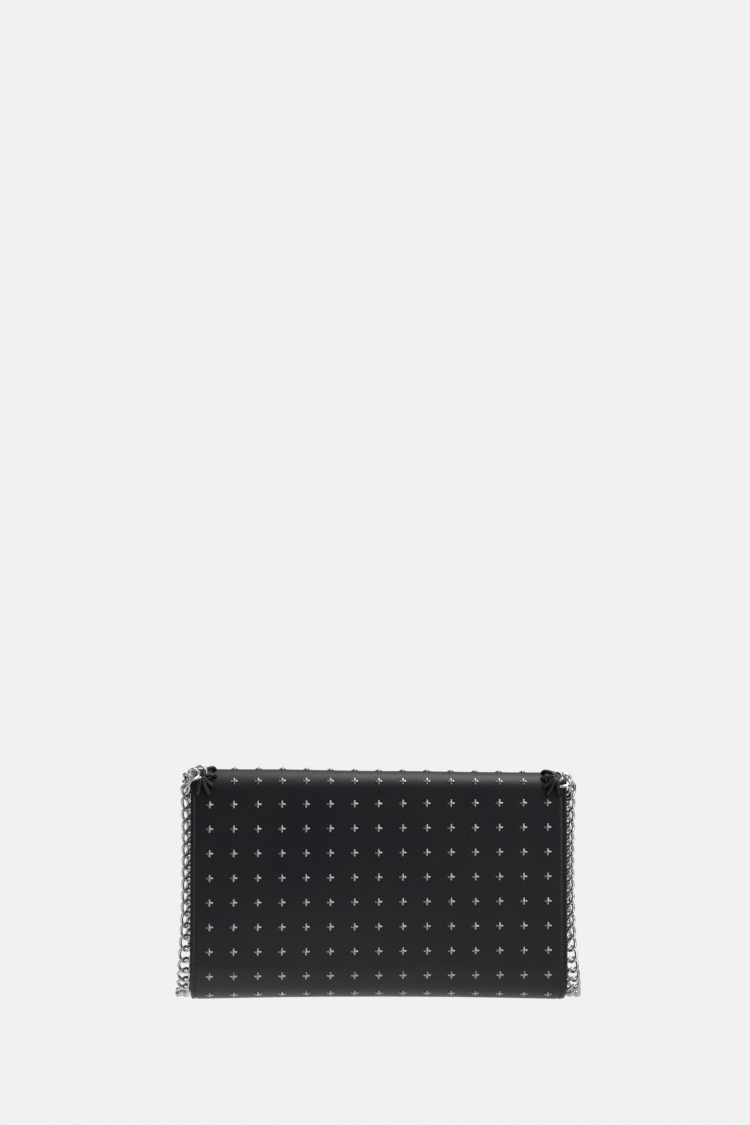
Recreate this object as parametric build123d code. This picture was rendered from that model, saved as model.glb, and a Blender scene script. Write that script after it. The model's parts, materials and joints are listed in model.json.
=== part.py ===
from build123d import *
import math
import os

# Wallet on a chain, standing upright on its rounded bottom, flap closed.
# +X runs along the width, +Z up, the plain studded back faces -Y, the flap faces +Y.
# The origin is on the flat base, midway across the width.  All sizes are millimetres.

# ---- overall sizes ----
WIDTH = 190.0            # leather, side edge to side edge
HEIGHT = 116.5           # base to the top of the fold
BACK_Y = -17.0           # outer face of the back
FLAP_Y = 18.5            # outer face of the closed flap
FRONT_Y = 14.0           # outer face of the front panel, under the flap
FOLD_R = 12.0            # top folds and the back bottom fold
FRONT_BOTTOM_R = 8.0     # bottom fold on the front side
LEATHER = 1.4
LINING = 0.8
SKIN = LEATHER + LINING
TUB_TOP = 12.0           # the back, bottom and front share one skin up to here
GAP = 0.2                # seam gap between neighbouring sheets
LINING_INSET = 0.6       # the lining stops short of the leather's side edges
HALF = WIDTH / 2

# ---- flap and its hinges ----
STRIP_START = -2.8       # y of the crease behind the top strip
STRIP_END = 2.5          # y where the soft front fold starts
CREASE_GAP = 0.4
FLAP_BOTTOM = 20.0
FLAP_CORNER_R = 12.0
PANEL_TOP = 98.5

# ---- studs ----
STUD_PITCH = 12.35       # between rows, along the leather
STUD_STEP = 12.25        # between columns
STUD_SPAN = 4.0
STUD_ARM = 1.1
STUD_HEIGHT = 0.85
STUD_SINK = 0.15         # claws pressed into the leather
FIRST_ROW_Z = 11.8
FULL_COLUMNS = 15
INNER_COLUMNS = 13

# ---- curb chain ----
LINK_PITCH = 5.8
LINK_WIRE = 1.6
LINK_A = 4.2             # half length of the link's guide oval
LINK_B = 3.1             # half width of the guide oval
LINK_TWIST = 1.35        # rise of the twisted sides
LINK_CORNERS = (22.5, 67.5, 112.5, 157.5)
LINK_LIFT = 2.3          # centre of a link above the leather it lies on
TRIM_OVERHANG = 0.5      # the trim chain's centre line beyond the flap's edge
LACE_WIRE = 1.4
LACE_INSET = 7.0         # holes of the trim lacing, in from the flap's edge

# ---- strap ----
STRAP_D = 7.0
STRAP_BEND = 0.45        # share of the shorter run that each arc takes
COIL_CENTRE = (-35.0, 52.5)
COIL_STRAIGHT = 25.0     # between the middles of the coil's two round ends
COIL_OUTER_R = 37.0
COIL_INNER_R = 17.0
COIL_HEIGHT = 9.5

# ---- inside ----
POCKET_HALF = 78.0
POCKET_TOP = 84.0
POCKET_LEAF = 1.0
POCKET_BACK_Y = -0.5     # back face of the zip pocket
POCKET_FRONT_Y = 3.5     # front face of the zip pocket
GUSSET_SHEET = 0.9
GUSSET_TOP = 95.5
GUSSET_FOLD_X = 85.0
GUSSET_EDGE = 1.5        # outer face of the side wall, in from the leather's edge
GUSSET_FLANGE = 6.0      # sewn flange of the side wall
GUSSET_CLEAR = 0.3       # side wall clear of the lining
GUSSET_BOTTOM_CLEAR = 0.15
SEAT = 0.2               # inner parts stand this clear of the lining
CARD_SHEET = 0.6
CARD_MIDDLE = 1.0        # half the gap between the two card columns
CARD_BACKING_TOP = 95.0
CARD_GAP = 0.9           # room for one card
CARD_FIRST_GAP = 0.5
CARD_BACKING_HALF = 87.1
CARD_COLUMN_W = 86.0
CARD_FLOOR = 14.0
CARD_TOPS = (92.0, 80.0, 68.0)
TAPE_SHEET = 0.6
TAPE_OVERLAP = 8.0       # tape sewn down inside each leaf
TAPE_INSET = 1.2
TEETH_PITCH = 2.2
TEETH_WIDTH = 1.3
TEETH_SHIFT = 0.25       # teeth stand on either tape in turn
STOP_GAP = 2.0
TEETH_HALF = 72.0
TEETH_Z = 88.0
TEETH_HEIGHT = 2.4
SLIDER_X = -62.0
PULL_LENGTH = 16.0
SNAP_Z = 46.0

# outer path of the leather, as lengths from the start of the straight back
BACK_RUN = HEIGHT - FOLD_R - FIRST_ROW_Z
FOLD_RUN = FOLD_R * math.pi / 2
BACK_FOLD_Y = BACK_Y + FOLD_R
FRONT_FOLD_Y = FLAP_Y - FOLD_R
FOLD_Z = HEIGHT - FOLD_R
TOP_RUN = FRONT_FOLD_Y - BACK_FOLD_Y

os.makedirs("parts", exist_ok=True)


def save(shape, node):
    """Write one sub-part."""
    export_step(shape, f"parts/{node}.step")


def save_group(solids, node):
    """Write loose solids that share a node."""
    save(Compound(children=list(solids)), node)


def skin_place(run):
    """Point and outward normal of the leather's outer face, run mm above the first stud row."""
    if run < FIRST_ROW_Z - FOLD_R:
        turn = (FIRST_ROW_Z - FOLD_R - run) / FOLD_R
        normal = Vector(0, -math.cos(turn), -math.sin(turn))
        return Vector(0, BACK_FOLD_Y, FOLD_R) + normal * FOLD_R, normal
    if run < BACK_RUN:
        return Vector(0, BACK_Y, FIRST_ROW_Z + run), Vector(0, -1, 0)
    run -= BACK_RUN
    if run < FOLD_RUN:
        turn = run / FOLD_R
        normal = Vector(0, -math.cos(turn), math.sin(turn))
        return Vector(0, BACK_FOLD_Y, FOLD_Z) + normal * FOLD_R, normal
    run -= FOLD_RUN
    if run < TOP_RUN:
        return Vector(0, BACK_FOLD_Y + run, HEIGHT), Vector(0, 0, 1)
    run -= TOP_RUN
    if run < FOLD_RUN:
        turn = run / FOLD_R
        normal = Vector(0, math.sin(turn), math.cos(turn))
        return Vector(0, FRONT_FOLD_Y, FOLD_Z) + normal * FOLD_R, normal
    return Vector(0, FLAP_Y, FOLD_Z - (run - FOLD_RUN)), Vector(0, 1, 0)


def prism(outline, half_width):
    """Extrude a closed (y, z) outline evenly both ways along X."""
    plane = Plane(origin=(0, 0, 0), x_dir=(0, 1, 0), z_dir=(1, 0, 0))
    return extrude(plane * make_face(outline), amount=half_width, both=True)


def block(x0, x1, y0, y1, z0, z1):
    """A box between two corners."""
    centre = ((x0 + x1) / 2, (y0 + y1) / 2, (z0 + z1) / 2)
    return Pos(*centre) * Box(x1 - x0, y1 - y0, z1 - z0)


def shell_profile(depth_out, depth_in):
    """Closed (y, z) outline of one layer of the back, bottom and low front, between two depths."""
    def layer(depth):
        back_r = FOLD_R - depth
        front_r = FRONT_BOTTOM_R - depth
        front_y = FRONT_Y - FRONT_BOTTOM_R
        return Curve() + [
            Line((STRIP_START, HEIGHT - depth), (BACK_FOLD_Y, HEIGHT - depth)),
            CenterArc((BACK_FOLD_Y, FOLD_Z), back_r, 90, 90),
            Line((BACK_Y + depth, FOLD_Z), (BACK_Y + depth, FOLD_R)),
            CenterArc((BACK_FOLD_Y, FOLD_R), back_r, 180, 90),
            Line((BACK_FOLD_Y, depth), (front_y, depth)),
            CenterArc((front_y, FRONT_BOTTOM_R), front_r, 270, 90),
            Line((FRONT_Y - depth, FRONT_BOTTOM_R), (FRONT_Y - depth, TUB_TOP)),
        ]
    ends = [
        Line((STRIP_START, HEIGHT - depth_out), (STRIP_START, HEIGHT - depth_in)),
        Line((FRONT_Y - depth_out, TUB_TOP), (FRONT_Y - depth_in, TUB_TOP)),
    ]
    return layer(depth_out).edges() + layer(depth_in).edges() + ends


def fold_profile(depth_out, depth_in, start_y):
    """Closed (y, z) outline of one layer of the soft fold at the top of the flap."""
    edges = []
    for depth in (depth_out, depth_in):
        edges.append(Line((start_y, HEIGHT - depth), (FRONT_FOLD_Y, HEIGHT - depth)))
        edges.append(CenterArc((FRONT_FOLD_Y, FOLD_Z), FOLD_R - depth, 0, 90))
    edges.append(Line((start_y, HEIGHT - depth_out), (start_y, HEIGHT - depth_in)))
    edges.append(Line((FLAP_Y - depth_out, FOLD_Z), (FLAP_Y - depth_in, FOLD_Z)))
    return edges


# ---------------------------------------------------------------- leather shell
def back_panel():
    return prism(shell_profile(0.0, LEATHER), HALF)


def body_lining():
    return prism(shell_profile(LEATHER, SKIN), HALF - LINING_INSET)


def top_strip():
    start = STRIP_START + CREASE_GAP
    return block(-HALF, HALF, start, STRIP_END - GAP, HEIGHT - LEATHER, HEIGHT)


def strip_lining():
    start = STRIP_START + CREASE_GAP
    inset = HALF - LINING_INSET
    return block(-inset, inset, start, STRIP_END - GAP, HEIGHT - SKIN, HEIGHT - LEATHER)


def flap_fold():
    return prism(fold_profile(0.0, LEATHER, STRIP_END), HALF)


def fold_lining():
    return prism(fold_profile(LEATHER, SKIN, STRIP_END), HALF - LINING_INSET)


def flap_sheet(y0, y1, inset):
    """A sheet of the flap: square top, rounded lower corners."""
    top = FOLD_Z - GAP
    low = FLAP_BOTTOM + inset
    sheet = block(-HALF + inset, HALF - inset, y0, y1, low, top)
    corners = sheet.edges().filter_by(Axis.Y).group_by(Axis.Z)[0]
    return fillet(corners, FLAP_CORNER_R - inset)


def flap_panel():
    return flap_sheet(FLAP_Y - LEATHER, FLAP_Y, 0.0)


def flap_lining():
    return flap_sheet(FLAP_Y - SKIN, FLAP_Y - LEATHER, LINING_INSET)


def front_panel():
    return block(-HALF, HALF, FRONT_Y - LEATHER, FRONT_Y, TUB_TOP + CREASE_GAP, PANEL_TOP)


def front_lining():
    inset = HALF - LINING_INSET
    return block(-inset, inset, FRONT_Y - SKIN, FRONT_Y - LEATHER, TUB_TOP + CREASE_GAP, PANEL_TOP)


def cavity(clearance):
    """The room inside the shell, as a prism, a little clear of the lining."""
    depth = SKIN + clearance
    outline = [
        CenterArc((BACK_FOLD_Y, FOLD_R), FOLD_R - depth, 180, 90),
        Line((BACK_FOLD_Y, depth), (FRONT_Y - FRONT_BOTTOM_R, depth)),
        CenterArc((FRONT_Y - FRONT_BOTTOM_R, FRONT_BOTTOM_R), FRONT_BOTTOM_R - depth, 270, 90),
        Line((FRONT_Y - depth, FRONT_BOTTOM_R), (FRONT_Y - depth, GUSSET_TOP)),
        Line((FRONT_Y - depth, GUSSET_TOP), (BACK_Y + depth, GUSSET_TOP)),
        Line((BACK_Y + depth, GUSSET_TOP), (BACK_Y + depth, FOLD_R)),
    ]
    return prism(outline, HALF)


def gusset(side):
    """Side wall folded inward, sewn to the back and to the front panel by two flanges."""
    y_back = BACK_Y + SKIN + GUSSET_CLEAR
    y_front = FRONT_Y - SKIN - GUSSET_CLEAR
    y_mid = (y_back + y_front) / 2
    edge_x = HALF - GUSSET_EDGE
    inner_x = edge_x - 2 * GUSSET_SHEET
    flange_x = edge_x - GUSSET_FLANGE
    outer = [(edge_x, y_back), (GUSSET_FOLD_X, y_mid), (edge_x, y_front)]
    inner = [(flange_x, y_front), (flange_x, y_front - GUSSET_SHEET)]
    inner += [(inner_x, y_front - GUSSET_SHEET), (GUSSET_FOLD_X - GUSSET_SHEET, y_mid)]
    inner += [(inner_x, y_back + GUSSET_SHEET), (flange_x, y_back + GUSSET_SHEET), (flange_x, y_back)]
    corners = [(side * x, y) for x, y in outer + inner]
    face = make_face(Polyline(*corners, close=True))
    wall = extrude(Plane.XY * face, amount=GUSSET_TOP)
    return wall & cavity(GUSSET_BOTTOM_CLEAR)


# ---------------------------------------------------------------- inside
CARD_BACKING_Y = BACK_Y + SKIN + SEAT


def card_sheet(level, side):
    """One card pocket front; level 0 is the tallest, next to the back."""
    y0 = CARD_BACKING_Y + CARD_FIRST_GAP + (level + 1) * CARD_SHEET + level * CARD_GAP
    left_x = CARD_MIDDLE if side > 0 else -CARD_MIDDLE - CARD_COLUMN_W
    return block(left_x, left_x + CARD_COLUMN_W, y0, y0 + CARD_SHEET, CARD_FLOOR, CARD_TOPS[level])


def card_backing():
    y0 = CARD_BACKING_Y
    x = CARD_BACKING_HALF
    return block(-x, x, y0, y0 + CARD_SHEET, CARD_FLOOR, CARD_BACKING_TOP)


POCKET_FLOOR = SKIN + SEAT
POCKET_MIDDLE_Y = (POCKET_BACK_Y + POCKET_FRONT_Y) / 2


def pocket_leaf(y0):
    return block(-POCKET_HALF, POCKET_HALF, y0, y0 + POCKET_LEAF, POCKET_FLOOR, POCKET_TOP)


def pocket_edge():
    """The narrow bottom and end strips that join the two leaves of the zip pocket."""
    y0 = POCKET_BACK_Y + POCKET_LEAF
    y1 = POCKET_FRONT_Y - POCKET_LEAF
    low = POCKET_FLOOR + POCKET_LEAF
    strips = [block(-POCKET_HALF, POCKET_HALF, y0, y1, POCKET_FLOOR, low)]
    for left_x in (-POCKET_HALF, POCKET_HALF - POCKET_LEAF):
        strips.append(block(left_x, left_x + POCKET_LEAF, y0, y1, low, POCKET_TOP))
    return strips


def zip_tapes():
    y0 = POCKET_BACK_Y + POCKET_LEAF
    y1 = POCKET_FRONT_Y - POCKET_LEAF
    low = POCKET_TOP - TAPE_OVERLAP
    x = POCKET_HALF - TAPE_INSET
    return [
        block(-x, x, y0, y0 + TAPE_SHEET, low, TEETH_Z),
        block(-x, x, y1 - TAPE_SHEET, y1, low, TEETH_Z),
    ]


def zip_teeth():
    """Two interleaved rows of teeth, one standing on each tape."""
    teeth = []
    tooth = Box(TEETH_WIDTH, TEETH_WIDTH, TEETH_HEIGHT)
    count = int(2 * TEETH_HALF / TEETH_PITCH)
    for i in range(count):
        x = -TEETH_HALF + TEETH_PITCH * (i + 0.5)
        shift = TEETH_SHIFT if i % 2 else -TEETH_SHIFT
        teeth.append(Pos(x, POCKET_MIDDLE_Y + shift, TEETH_Z + TEETH_HEIGHT / 2) * tooth)
    return teeth


def zip_stops():
    stop = Box(2.0, 1.9, TEETH_HEIGHT)
    place = TEETH_HALF + STOP_GAP
    return [Pos(side * place, POCKET_MIDDLE_Y, TEETH_Z + TEETH_HEIGHT / 2) * stop for side in (-1, 1)]


SLIDER_SIZE = (9.0, 5.2)
SLIDER_WALL = 1.6        # roof of the slider over the teeth
SLIDER_SKIRT = 2.0       # sides of the slider below the tapes' edge
SLIDER_ROUND = 1.2
CHANNEL_WIDTH = 2.6
BRIDGE_SIZE = (4.4, 1.8, 3.4)
SLIDER_TOP = TEETH_Z + TEETH_HEIGHT + SLIDER_WALL
PULL_Z = SLIDER_TOP + BRIDGE_SIZE[2] / 2
PIN_R = 0.6
PIN_CLEAR = 0.1
PULL_WIDTH = 5.0
PULL_SHEET = 1.2
PULL_START = 3.2         # the tab begins this far from the pin
FORK_WIDTH = 1.1
FORK_LENGTH = 6.0
FORK_Y = 1.75


def zip_slider():
    """Slider body with the teeth's channel through it and a bridge that holds the pull."""
    low = TEETH_Z - SLIDER_SKIRT
    body = Pos(0, 0, (SLIDER_TOP + low) / 2) * Box(*SLIDER_SIZE, SLIDER_TOP - low)
    body = fillet(body.edges().filter_by(Axis.Z), SLIDER_ROUND)
    channel_top = TEETH_Z + TEETH_HEIGHT + CREASE_GAP
    channel_z = (channel_top + low - SLIDER_SKIRT) / 2
    channel = Pos(0, 0, channel_z) * Box(2 * SLIDER_SIZE[0], CHANNEL_WIDTH, channel_top - low + SLIDER_SKIRT)
    bridge = Pos(0, 0, PULL_Z - PIN_CLEAR) * Box(*BRIDGE_SIZE)
    pin_hole = Pos(0, 0, PULL_Z) * Rot(90, 0, 0) * Cylinder(PIN_R + PIN_CLEAR, SLIDER_SIZE[1])
    return Pos(SLIDER_X, POCKET_MIDDLE_Y, 0) * (body - channel + bridge - pin_hole)


def zip_pull():
    """Pull tab lying along the teeth, forked round the bridge, with its pin."""
    length = PULL_LENGTH - PULL_START
    plate = Pos(PULL_START + length / 2, 0, 0) * Box(length, PULL_WIDTH, PULL_SHEET)
    plate = fillet(plate.edges().filter_by(Axis.Z), 1.6)
    slot = Pos(PULL_LENGTH - 3.6, 0, 0) * Box(4.0, 1.6, 2 * PULL_SHEET)
    tab = plate - slot
    for side in (-1, 1):
        tab = tab + Pos(FORK_LENGTH / 2 - 0.9, side * FORK_Y, 0) * Box(FORK_LENGTH, FORK_WIDTH, PULL_SHEET)
    pin = Rot(90, 0, 0) * Cylinder(PIN_R, 2 * FORK_Y + 0.1)
    return Pos(SLIDER_X, POCKET_MIDDLE_Y, PULL_Z) * (tab + pin)


SNAP_MALE_R = 7.0
SNAP_BOSS_R = 5.0
SNAP_FEMALE_R = 9.0
SNAP_SOCKET_R = 5.6
SNAP_FEMALE_SHEET = 0.9


def snap_male():
    disc = Cylinder(SNAP_MALE_R, 1.0) + Pos(0, 0, 0.1) * Cylinder(SNAP_BOSS_R, 1.2)
    return Pos(0, FLAP_Y - SKIN - 0.5, SNAP_Z) * Rot(90, 0, 0) * disc


def snap_female():
    disc = Cylinder(SNAP_FEMALE_R, SNAP_FEMALE_SHEET) - Pos(0, 0, -0.3) * Cylinder(SNAP_SOCKET_R, 0.8)
    return Pos(0, FRONT_Y + SNAP_FEMALE_SHEET / 2, SNAP_Z) * Rot(90, 0, 0) * disc


# ---------------------------------------------------------------- studs
def stud_shape():
    """Four-armed claw stud, standing on its claws along Z."""
    height = STUD_HEIGHT + STUD_SINK
    cross = Box(STUD_SPAN, STUD_ARM, height) + Box(STUD_ARM, STUD_SPAN, height)
    return Pos(0, 0, height / 2) * cross


STUD = stud_shape()


def stud_at(x, run):
    """A stud seated in the leather."""
    place, normal = skin_place(run)
    seat = Vector(x, place.Y, place.Z) - normal * STUD_SINK
    return Plane(origin=seat, x_dir=(1, 0, 0), z_dir=normal) * STUD


def stud_rows(rows):
    """Studs for (row number, columns) pairs."""
    studs = []
    for row, columns in rows:
        for i in range(columns):
            studs.append(stud_at((i - (columns - 1) / 2) * STUD_STEP, row * STUD_PITCH))
    return studs


# ---------------------------------------------------------------- chain
def link_point(degrees):
    """A point of the link's twisted guide oval."""
    turn = math.radians(degrees)
    return Vector(LINK_A * math.cos(turn), LINK_B * math.sin(turn), LINK_TWIST * math.sin(2 * turn))


def arc_radii(points, share, closed_ends=False):
    """Radius for each corner of a route: share of the shorter run over the half turn's tangent."""
    runs = [(b - a).length for a, b in zip(points, points[1:])]
    if closed_ends:
        runs[0] *= 2
        runs[-1] *= 2
    radii = []
    for i in range(1, len(points) - 1):
        turn = (points[i] - points[i - 1]).get_angle(points[i + 1] - points[i])
        radii.append(share * min(runs[i - 1], runs[i]) / math.tan(math.radians(turn / 2)))
    return radii


def tube(points, radii, diameter):
    """Round tube along straight runs joined by tangent arcs."""
    path = FilletPolyline(*points, radius=radii)
    section = Plane(origin=path @ 0, z_dir=path % 0) * Circle(diameter / 2)
    return sweep(section, path=path), path.length


def curb_link():
    """One link, long axis X, lying flat in XY: two equal half turns of wire."""
    first = (link_point(-LINK_CORNERS[0]) + link_point(LINK_CORNERS[0])) * 0.5
    last = (link_point(LINK_CORNERS[-1]) + link_point(360 - LINK_CORNERS[-1])) * 0.5
    points = [first] + [link_point(c) for c in LINK_CORNERS] + [last]
    half, _ = tube(points, arc_radii(points, 0.45, closed_ends=True), LINK_WIRE)
    return half + half.rotate(Axis.Z, 180)


LINK = curb_link()


def link_at(origin, along, normal):
    """A link centred on origin, its length along one direction and its flat side facing another."""
    return Plane(origin=origin, x_dir=along, z_dir=normal) * LINK


TRIM_HALF = HALF + TRIM_OVERHANG
TRIM_R = FLAP_CORNER_R + TRIM_OVERHANG
TRIM_LOW = FLAP_BOTTOM - TRIM_OVERHANG
TRIM_Y = FLAP_Y + LINK_LIFT
TRIM_SIDE = FOLD_Z - TRIM_LOW - TRIM_R
TRIM_BOTTOM = 2 * (TRIM_HALF - TRIM_R)
TRIM_CORNER = TRIM_R * math.pi / 2
TRIM_LENGTH = 2 * TRIM_SIDE + 2 * TRIM_CORNER + TRIM_BOTTOM


def trim_place(run):
    """Point, direction and inward direction of the chain along the flap's edge, from top left."""
    if run < TRIM_SIDE:
        return Vector(-TRIM_HALF, TRIM_Y, FOLD_Z - run), Vector(0, 0, -1), Vector(1, 0, 0)
    run -= TRIM_SIDE
    if run < TRIM_CORNER:
        turn = run / TRIM_R
        outward = Vector(-math.cos(turn), 0, -math.sin(turn))
        centre = Vector(-TRIM_HALF + TRIM_R, TRIM_Y, TRIM_LOW + TRIM_R)
        return centre + outward * TRIM_R, Vector(math.sin(turn), 0, -math.cos(turn)), outward * -1
    run -= TRIM_CORNER
    if run < TRIM_BOTTOM:
        return Vector(-TRIM_HALF + TRIM_R + run, TRIM_Y, TRIM_LOW), Vector(1, 0, 0), Vector(0, 0, 1)
    run -= TRIM_BOTTOM
    if run < TRIM_CORNER:
        turn = run / TRIM_R
        outward = Vector(math.sin(turn), 0, -math.cos(turn))
        centre = Vector(TRIM_HALF - TRIM_R, TRIM_Y, TRIM_LOW + TRIM_R)
        return centre + outward * TRIM_R, Vector(math.cos(turn), 0, math.sin(turn)), outward * -1
    run -= TRIM_CORNER
    return Vector(TRIM_HALF, TRIM_Y, TRIM_LOW + TRIM_R + run), Vector(0, 0, 1), Vector(-1, 0, 0)


LACE_SPAN = LACE_INSET + TRIM_OVERHANG
LACE_CLEAR = 0.8         # the stitch's middle line behind the flap's lining
LACE_DEPTH = SKIN + LINK_LIFT + 2.9
LACE_CORNER = 1.6


def lace_loop():
    """One whip stitch: up through a hole, over the link's inner side, round the flap's edge."""
    w = LACE_SPAN / 2
    h = LACE_DEPTH / 2
    points = [Vector(0, 0, h), Vector(w, 0, h), Vector(w, 0, -h), Vector(0, 0, -h)]
    half, _ = tube(points, LACE_CORNER, LACE_WIRE)
    return half + half.rotate(Axis.Y, 180)


LACE = lace_loop()


def flap_laces(runs):
    """A stitch beside each trim link, across the chain."""
    laces = []
    for run in runs:
        place, along, inward = trim_place(run)
        centre = place + inward * (LACE_SPAN / 2)
        middle_y = FLAP_Y - SKIN - LACE_CLEAR + LACE_DEPTH / 2
        plane = Plane(origin=(centre.X, middle_y, centre.Z), x_dir=inward, z_dir=(0, 1, 0))
        laces.append(plane * LACE)
    return laces


FOLD_LINKS = 1           # on each side


def fold_links(side):
    """Trim links on the soft fold, going down from the strip to the flap."""
    start = BACK_RUN + FOLD_RUN + TOP_RUN + FOLD_RUN
    links = []
    for i in range(1, FOLD_LINKS + 1):
        place, normal = skin_place(start - LINK_PITCH * i)
        centre = Vector(side * TRIM_HALF, place.Y, place.Z) + normal * LINK_LIFT
        links.append(link_at(centre, Vector(0, normal.Z, -normal.Y), normal))
    return links


# the strap's sewn ends: on each side three links from the fan's middle over the corner to the side
CORNER_LEFT = (
    ((-91.2, -16.9, 114.9), (-0.62, 0.50, 0.60), (0.0, -0.77, 0.64)),
    ((-95.6, -17.7, 112.3), (-0.25, 0.40, 0.88), (-0.30, -0.83, 0.46)),
    ((-99.0, -12.8, 109.6), (-0.30, 0.66, -0.68), (-0.60, -0.75, 0.25)),
)
CORNER_RIGHT = (
    ((89.4, -16.3, 113.3), (0.62, 0.50, 0.60), (0.0, -0.77, 0.64)),
    ((93.8, -17.6, 111.7), (0.60, 0.40, 0.60), (0.10, -0.85, 0.50)),
    ((98.2, -13.2, 109.4), (0.40, 0.62, -0.66), (0.60, -0.75, 0.25)),
)


def corner_links(links):
    placed = []
    for centre, along, normal in links:
        z_dir = Vector(*normal)
        x_dir = Vector(*along)
        x_dir = x_dir - z_dir * (x_dir.dot(z_dir) / z_dir.dot(z_dir))
        placed.append(link_at(Vector(*centre), x_dir, z_dir))
    return placed


# ends of the whip stitches round each fan: distance in from the side edge and height
FAN_ENDS = ((11.6, 115.7), (12.1, 112.2), (11.1, 106.6), (9.5, 102.2), (3.6, 102.0))
FAN_CENTRE_RUN = BACK_RUN + 6.2
FAN_INSET = 5.2
FAN_WIRE = 1.7


def on_skin(x, run, lift):
    place, normal = skin_place(run)
    return Vector(x, place.Y, place.Z) + normal * lift


def run_at_height(z):
    """Length along the back at which the skin is z high."""
    if z <= FOLD_Z:
        return z - FIRST_ROW_Z
    return BACK_RUN + FOLD_R * math.asin((z - FOLD_Z) / FOLD_R)


def corner_lace(side):
    """The cord that whips the strap's first link to the leather, fanning out from its middle."""
    fan = None
    for inset, height in FAN_ENDS:
        x0 = side * (HALF - FAN_INSET)
        x1 = side * (HALF - inset)
        run1 = run_at_height(height)
        points = []
        for share, lift in ((0.0, 1.4), (0.12, 5.4), (0.55, 4.4), (1.0, -0.6)):
            x = x0 + (x1 - x0) * share
            run = FAN_CENTRE_RUN + (run1 - FAN_CENTRE_RUN) * share
            points.append(on_skin(x, run, lift))
        stitch, _ = tube(points, arc_radii(points, 0.3), FAN_WIRE)
        fan = stitch if fan is None else fan + stitch
    return fan


# ---------------------------------------------------------------- strap
STRAP_FLOOR = STRAP_D / 2
LEFT_ROUTE = [
    (-97.6, -7.4, 106.5),
    (-96.9, -6.6, 92),
    (-96.8, -6.0, 66),
    (-97.2, -6.2, 42),
    (-98.4, -6.2, 21.6),
    (-99.6, 0.2, 10.2),
    (-100.4, 11.6, STRAP_FLOOR),
    (-100.8, 25.0, STRAP_FLOOR),
    (-96.2, 36.0, STRAP_FLOOR),
    (-89.6, 44.5, STRAP_FLOOR),
    (-84.2, 53.0, STRAP_FLOOR),
    (-80.9, 63.0, STRAP_FLOOR),
]
RIGHT_ROUTE = [
    (96.6, -7.4, 106.5),
    (95.8, -6.4, 90),
    (95.6, -5.8, 65),
    (95.9, -6.0, 44),
    (96.8, -6.2, 24),
    (98.9, 0.2, 11.0),
    (99.6, 12.0, STRAP_FLOOR),
    (100.0, 28.0, STRAP_FLOOR),
    (98.0, 44.0, STRAP_FLOOR),
    (91.5, 58.5, STRAP_FLOOR),
    (80.0, 70.0, STRAP_FLOOR),
    (65.0, 78.5, STRAP_FLOOR),
    (48.0, 83.5, STRAP_FLOOR),
    (29.0, 85.6, STRAP_FLOOR),
    (9.0, 86.0, STRAP_FLOOR),
    (-12.0, 86.0, STRAP_FLOOR),
]


def strap_side(route):
    """One hanging side of the strap, from the sewn links down to the coil."""
    points = [Vector(*p) for p in route]
    radii = arc_radii(points, STRAP_BEND)
    solid, length = tube(points, radii, STRAP_D)
    section = math.pi * STRAP_D ** 2 / 4
    print("radii", [round(r, 1) for r in radii], "length", round(length, 1),
          "volume", round(solid.volume), "expected", round(section * length))
    return solid


def strap_coil():
    """Outer shape of the coiled rest of the strap."""
    outline = SlotCenterToCenter(COIL_STRAIGHT, 2 * COIL_OUTER_R)
    opening = SlotCenterToCenter(COIL_STRAIGHT, 2 * COIL_INNER_R)
    return Pos(COIL_CENTRE[0], COIL_CENTRE[1], 0) * extrude(outline - opening, amount=COIL_HEIGHT)


# ---------------------------------------------------------------- seam stitches
STITCH_PITCH = 3.6
STITCH_LENGTH = 2.7
STITCH_SIZE = (0.6, 0.5)
STITCH_SINK = 0.2        # thread pressed into the leather
SEAM_INSET = 2.3


def seam_stitches():
    """Thread along both side edges of the back."""
    stitches = []
    stitch = Box(*STITCH_SIZE, STITCH_LENGTH)
    middle_y = BACK_Y + STITCH_SINK - STITCH_SIZE[1] / 2
    count = int(BACK_RUN / STITCH_PITCH)
    for side in (-1, 1):
        for i in range(count):
            z = FIRST_ROW_Z + STITCH_PITCH * (i + 0.5)
            stitches.append(Pos(side * (HALF - SEAM_INSET), middle_y, z) * stitch)
    return stitches


# ---------------------------------------------------------------- write every sub-part
save(back_panel(), "back_panel")
save(body_lining(), "body_lining")
save(top_strip(), "top_strip")
save(strip_lining(), "strip_lining")
save(flap_fold(), "flap_fold")
save(fold_lining(), "fold_lining")
save(flap_panel(), "flap_panel")
save(flap_lining(), "flap_lining")
save(front_panel(), "front_panel")
save(front_lining(), "front_lining")
for name, side in (("left", -1), ("right", 1)):
    save(gusset(side), f"gusset_{name}")
    save_group([card_sheet(level, side) for level in range(len(CARD_TOPS))], f"card_pockets_{name}")
    save(corner_lace(side), f"corner_lace_{name}")
save_group(corner_links(CORNER_LEFT), "corner_links_left")
save_group(corner_links(CORNER_RIGHT), "corner_links_right")
save(card_backing(), "card_backing")
save(pocket_leaf(POCKET_BACK_Y), "zip_pocket_back")
save(pocket_leaf(POCKET_FRONT_Y - POCKET_LEAF), "zip_pocket_front")
save_group(pocket_edge(), "zip_pocket_edges")
save_group(zip_tapes(), "zip_tapes")
save_group(zip_teeth(), "zip_teeth")
save_group(zip_stops(), "zip_stops")
save(zip_slider(), "zip_slider")
save(zip_pull(), "zip_pull")
save(snap_male(), "snap_male")
save(snap_female(), "snap_female")

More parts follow.
